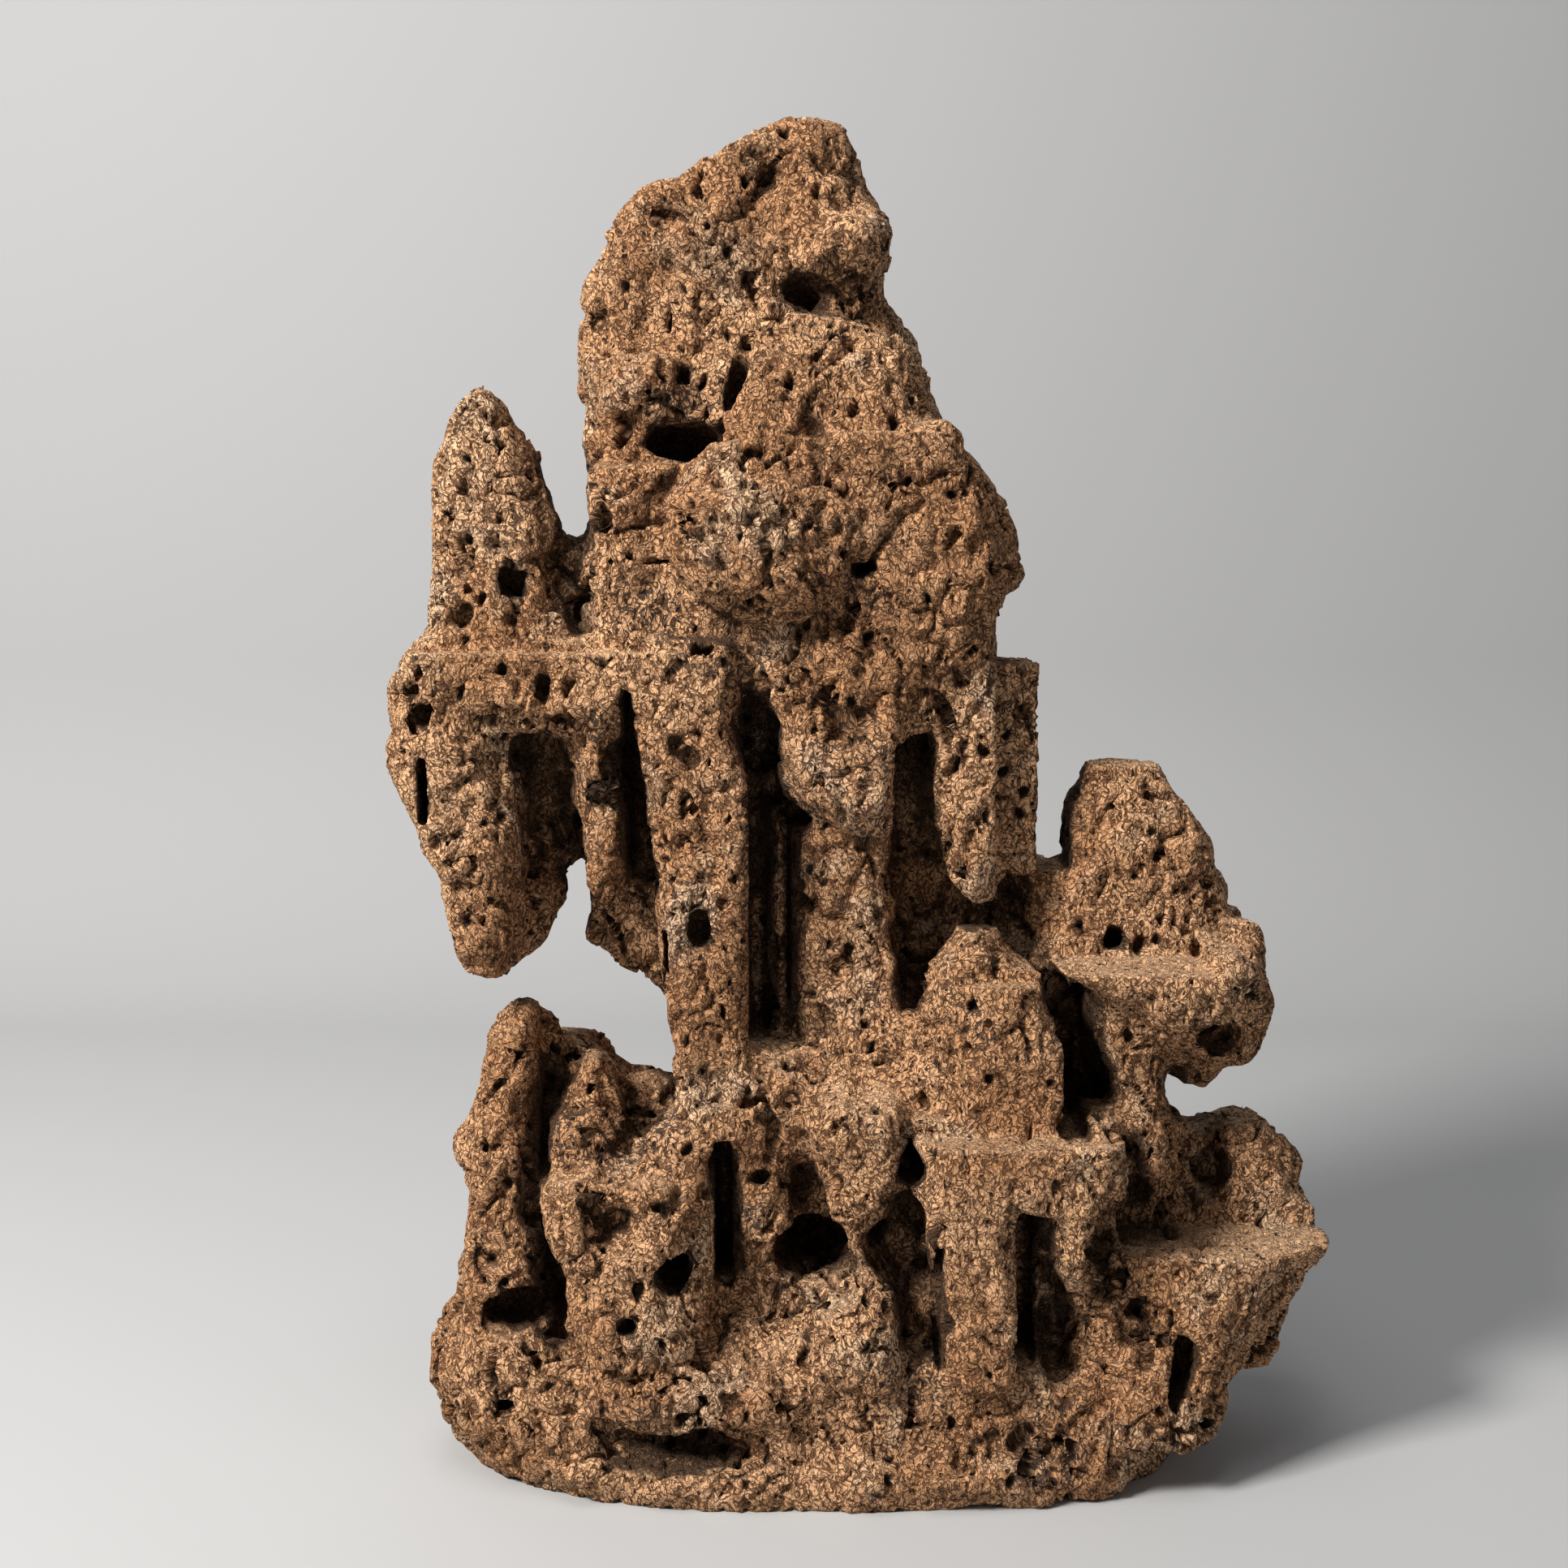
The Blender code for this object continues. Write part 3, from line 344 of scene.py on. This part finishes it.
def tufa():
    """Dry limestone: tan, warmer in places, lime-dust grey in others, with painted shade in its holes and
    recesses and painted light on ledge tops.
    """
    material = bpy.data.materials.new("tufa stone")
    material.use_nodes = True
    material.node_tree.nodes.clear()
    nodes = Nodes(material.node_tree)
    place = nodes.add("ShaderNodeAttribute", {"attribute_name": "bed"}, output="Vector")
    hollow, hole, pore = openings(nodes, place)
    warmth = nodes.between(nodes.noise(place, size=0.090, detail=3.0), 0.40, 0.62)
    dust = nodes.between(nodes.noise(place, size=0.055, detail=4.0, rough=0.6, twist=0.5), 0.52, 0.66)
    soot = nodes.between(nodes.noise(place, size=0.075, detail=3.0, rough=0.6, twist=0.3), 0.57, 0.68)
    fine = warped(nodes, stretched(nodes, place, 0.8), size=0.0045, reach=0.0018)
    worm = furrows(nodes, fine, size=0.0035, width=0.058, floor=0.40, twist=0.0)
    thread = furrows(nodes, fine, size=0.0019, width=0.066, floor=0.35, twist=0.0)
    pinhole = holes(nodes, fine, spacing=0.0036, share=0.50, smallest=0.0004, largest=0.0013)
    grain = nodes.noise(fine, size=0.0016, rough=0.6)
    level = nodes.add("ShaderNodeAttribute", {"attribute_name": "level"}, output="Fac")
    shelter = nodes.add("ShaderNodeAttribute", {"attribute_name": "shelter"}, output="Fac")

    def covered(below, colour, factor):
        """The colour below with this one laid over it, as much as the factor says."""
        inputs = {0: factor, 6: below, 7: (*colour, 1.0)}
        return nodes.add("ShaderNodeMix", {"data_type": "RGBA"}, inputs, output=2)

    furrow = worm.most(thread * THREAD_BESIDE_WORM)
    colour = covered((*LIT_TAN, 1.0), WARM_TAN, warmth)
    colour = covered(colour, GREY_TAN, dust * DUST_COVERS)
    colour = covered(colour, WARM_TAN, (grain - GRAIN_FROM) * GRAIN_COVERS)
    # Ledge tops paler and greyer: partly lime dust, partly painted light falling from above.
    colour = covered(colour, GREY_TAN, level * LEVEL_COVERS)
    # The furrows are laid rust-brown: partly the stone's rusty tint, partly painted shade in them, and less
    # of it on ledge tops.
    colour = covered(colour, RUST_AND_SHADE, furrow * (FURROWS_COVER - level * FURROWS_LESS_ON_LEVEL))
    colour = covered(colour, SOOT, soot * worm.most(pore) * SOOT_COVERS)
    # The pores too get the rust-brown tint with painted shade.
    colour = covered(colour, RUST_AND_SHADE, pore * PORES_COVER)
    # Painted shade: the hollows, and the holes and pinholes, are laid nearly black.
    colour = covered(colour, HOLE_SHADE, hollow.most(pore * hole) * HOLLOWS_COVER)
    colour = covered(colour, HOLE_SHADE, hole.most(pinhole) * HOLES_COVER)
    # Painted shade: the recesses that stone shelters are darkened towards umber brown.
    colour = covered(colour, RECESS_SHADE, nodes.between(shelter, SHADE_FROM, 1.0) * SHADE_COVERS)
    relief = grain * GRAIN_RISE - worm * WORM_SINK - thread * THREAD_SINK - pinhole * PINHOLE_SINK
    bump = nodes.add("ShaderNodeBump", None, {"Height": relief, "Distance": 1.0, "Strength": 1.0})
    finish = {"Base Color": colour, "Normal": bump, "Roughness": 0.96, "Specular IOR Level": 0.25}
    surface = nodes.add("ShaderNodeBsdfPrincipled", None, finish)
    nodes.add("ShaderNodeOutputMaterial", None, {"Surface": surface})
    return material


SAME_PLACE = 1e-6           # points nearer than this are one


def merged_copy(node, name):
    """A copy of a solid with its loose triangles joined into one skin."""
    shape = bmesh.new()
    shape.from_mesh(node.data)
    bmesh.ops.remove_doubles(shape, verts=shape.verts, dist=SAME_PLACE)
    mesh = bpy.data.meshes.new(name)
    shape.to_mesh(mesh)
    shape.free()
    made = bpy.data.objects.new(name, mesh)
    bpy.context.scene.collection.objects.link(made)
    return made


def settle(made):
    """Makes what the object's modifiers show its own mesh, and takes the modifiers off."""
    shown = bpy.data.meshes.new_from_object(made.evaluated_get(bpy.context.evaluated_depsgraph_get()))
    made.modifiers.clear()
    made.data = shown


# The back starts here, as a lean of the skin or as a depth. Its points count 1 to the thinning, and those of
# the front less, so that the front keeps more triangles.
BACK_LEAN = 0.15
BACK_DEPTH = 0.045
FRONT_COUNTS = 0.5


def thin(made):
    """Keeps a share of the triangles, and more of them on the carved front."""
    points = made.data.vertices
    back = [point.index for point in points if point.normal.y > BACK_LEAN or point.co.y > BACK_DEPTH]
    group = made.vertex_groups.new(name="behind")
    group.add(range(len(points)), FRONT_COUNTS, "REPLACE")
    group.add(back, 1.0, "REPLACE")
    fewer = made.modifiers.new("fewer faces", "DECIMATE")
    fewer.ratio = KEPT_SHARE
    fewer.vertex_group = "behind"
    fewer.vertex_group_factor = BEHIND_FEWER
    settle(made)


def stand_on_floor(made):
    """Lifts to the floor the points of the sole that the fine surface pushed under it."""
    for point in made.data.vertices:
        point.co.z = max(point.co.z, 0.0)


def keep_largest_body(made):
    """Drops the specks that the thinning cuts off, so that one skin is left."""
    shape = bmesh.new()
    shape.from_mesh(made.data)
    bmesh.ops.triangulate(shape, faces=shape.faces)
    bmesh.ops.dissolve_degenerate(shape, edges=shape.edges, dist=SAME_PLACE)
    seen, bodies = set(), []
    for start in shape.verts:
        if start in seen:
            continue
        seen.add(start)
        body, waiting = [], [start]
        while waiting:
            point = waiting.pop()
            body.append(point)
            for edge in point.link_edges:
                other = edge.other_vert(point)
                if other not in seen:
                    seen.add(other)
                    waiting.append(other)
        bodies.append(body)
    bodies.sort(key=len)
    specks = [point for body in bodies[:-1] for point in body]
    bmesh.ops.delete(shape, geom=specks, context="VERTS")
    shape.to_mesh(made.data)
    shape.free()


solid = merged_copy(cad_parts["stone"], "solid")
stone = merged_copy(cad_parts["stone"], "tufa_stone")
skin = stone.modifiers.new("skin", "REMESH")
skin.mode = "VOXEL"
skin.voxel_size = SKIN_GRAIN
settle(stone)
weather = stone.modifiers.new("weathering", "NODES")
weather.node_group = weathering()
inputs = [item for item in weather.node_group.interface.items_tree if item.in_out == "INPUT"]
sockets = {item.name: item.identifier for item in inputs}
weather[sockets["Solid"]] = solid
settle(stone)
bpy.data.objects.remove(solid)
thin(stone)
stand_on_floor(stone)
keep_largest_body(stone)
stone.data.shade_smooth()
stone.vertex_groups.clear()
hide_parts("stone")
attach(stone, "root")

# The floor and the light.
# A pale floor that curves up into a pale wall behind the stone, and three soft lamps: the main one high in
# front on the left, a weak one on the right, and one overhead.
FLOOR_REACH = 4.0
WALL_BEHIND = 0.9
BEND = 0.35
BEND_STEPS = 10
PALE = (0.47, 0.48, 0.49)


def sweep():
    """The floor and the wall as one sheet with a rounded bend between them."""
    shape = bmesh.new()
    turns = [math.radians(90 * step / BEND_STEPS) for step in range(BEND_STEPS + 1)]
    profile = [(-FLOOR_REACH, 0.0)]
    profile += [(WALL_BEHIND + BEND * math.sin(turn), BEND * (1 - math.cos(turn))) for turn in turns]
    profile += [(WALL_BEHIND + BEND, FLOOR_REACH)]
    rows = [[shape.verts.new((side, y, z)) for side in (-FLOOR_REACH, FLOOR_REACH)] for y, z in profile]
    for near, far in zip(rows, rows[1:]):
        shape.faces.new((near[0], near[1], far[1], far[0])).smooth = True
    mesh = bpy.data.meshes.new("floor_and_wall")
    shape.to_mesh(mesh)
    shape.free()
    return bpy.data.objects.new("floor_and_wall", mesh)


def paint(name, colour, roughness):
    material = bpy.data.materials.new(name)
    material.use_nodes = True
    surface = material.node_tree.nodes["Principled BSDF"]
    surface.inputs["Base Color"].default_value = (*colour, 1.0)
    surface.inputs["Roughness"].default_value = roughness
    return material


def lamp(name, place, size, watts, colour):
    """A square soft lamp that faces the stone's middle."""
    made = bpy.data.objects.new(name, bpy.data.lights.new(name, "AREA"))
    made.data.size = size
    made.data.energy = watts
    made.data.color = colour
    made.location = place
    middle = Vector((0.0, 0.0, 0.36))
    made.rotation_euler = (middle - made.location).to_track_quat("-Z", "Y").to_euler()
    bpy.context.scene.collection.objects.link(made)


backdrop = sweep()
backdrop.data.materials.append(paint("pale paint", PALE, 0.85))
bpy.context.scene.collection.objects.link(backdrop)
lamp("window", (-1.65, -1.25, 1.9), 0.6, 102.0, (1.0, 0.96, 0.91))
lamp("reflector", (1.9, -1.2, 0.9), 1.6, 2.0, (0.98, 0.98, 1.0))
lamp("ceiling", (-0.3, -0.5, 2.4), 1.2, 15.0, (1.0, 0.98, 0.97))
sky = bpy.data.worlds.new("room")
sky.use_nodes = True
sky.node_tree.nodes["Background"].inputs["Color"].default_value = (0.94, 0.96, 1.0, 1.0)
sky.node_tree.nodes["Background"].inputs["Strength"].default_value = 0.12
bpy.context.scene.world = sky
bpy.context.scene.view_settings.view_transform = "Standard"
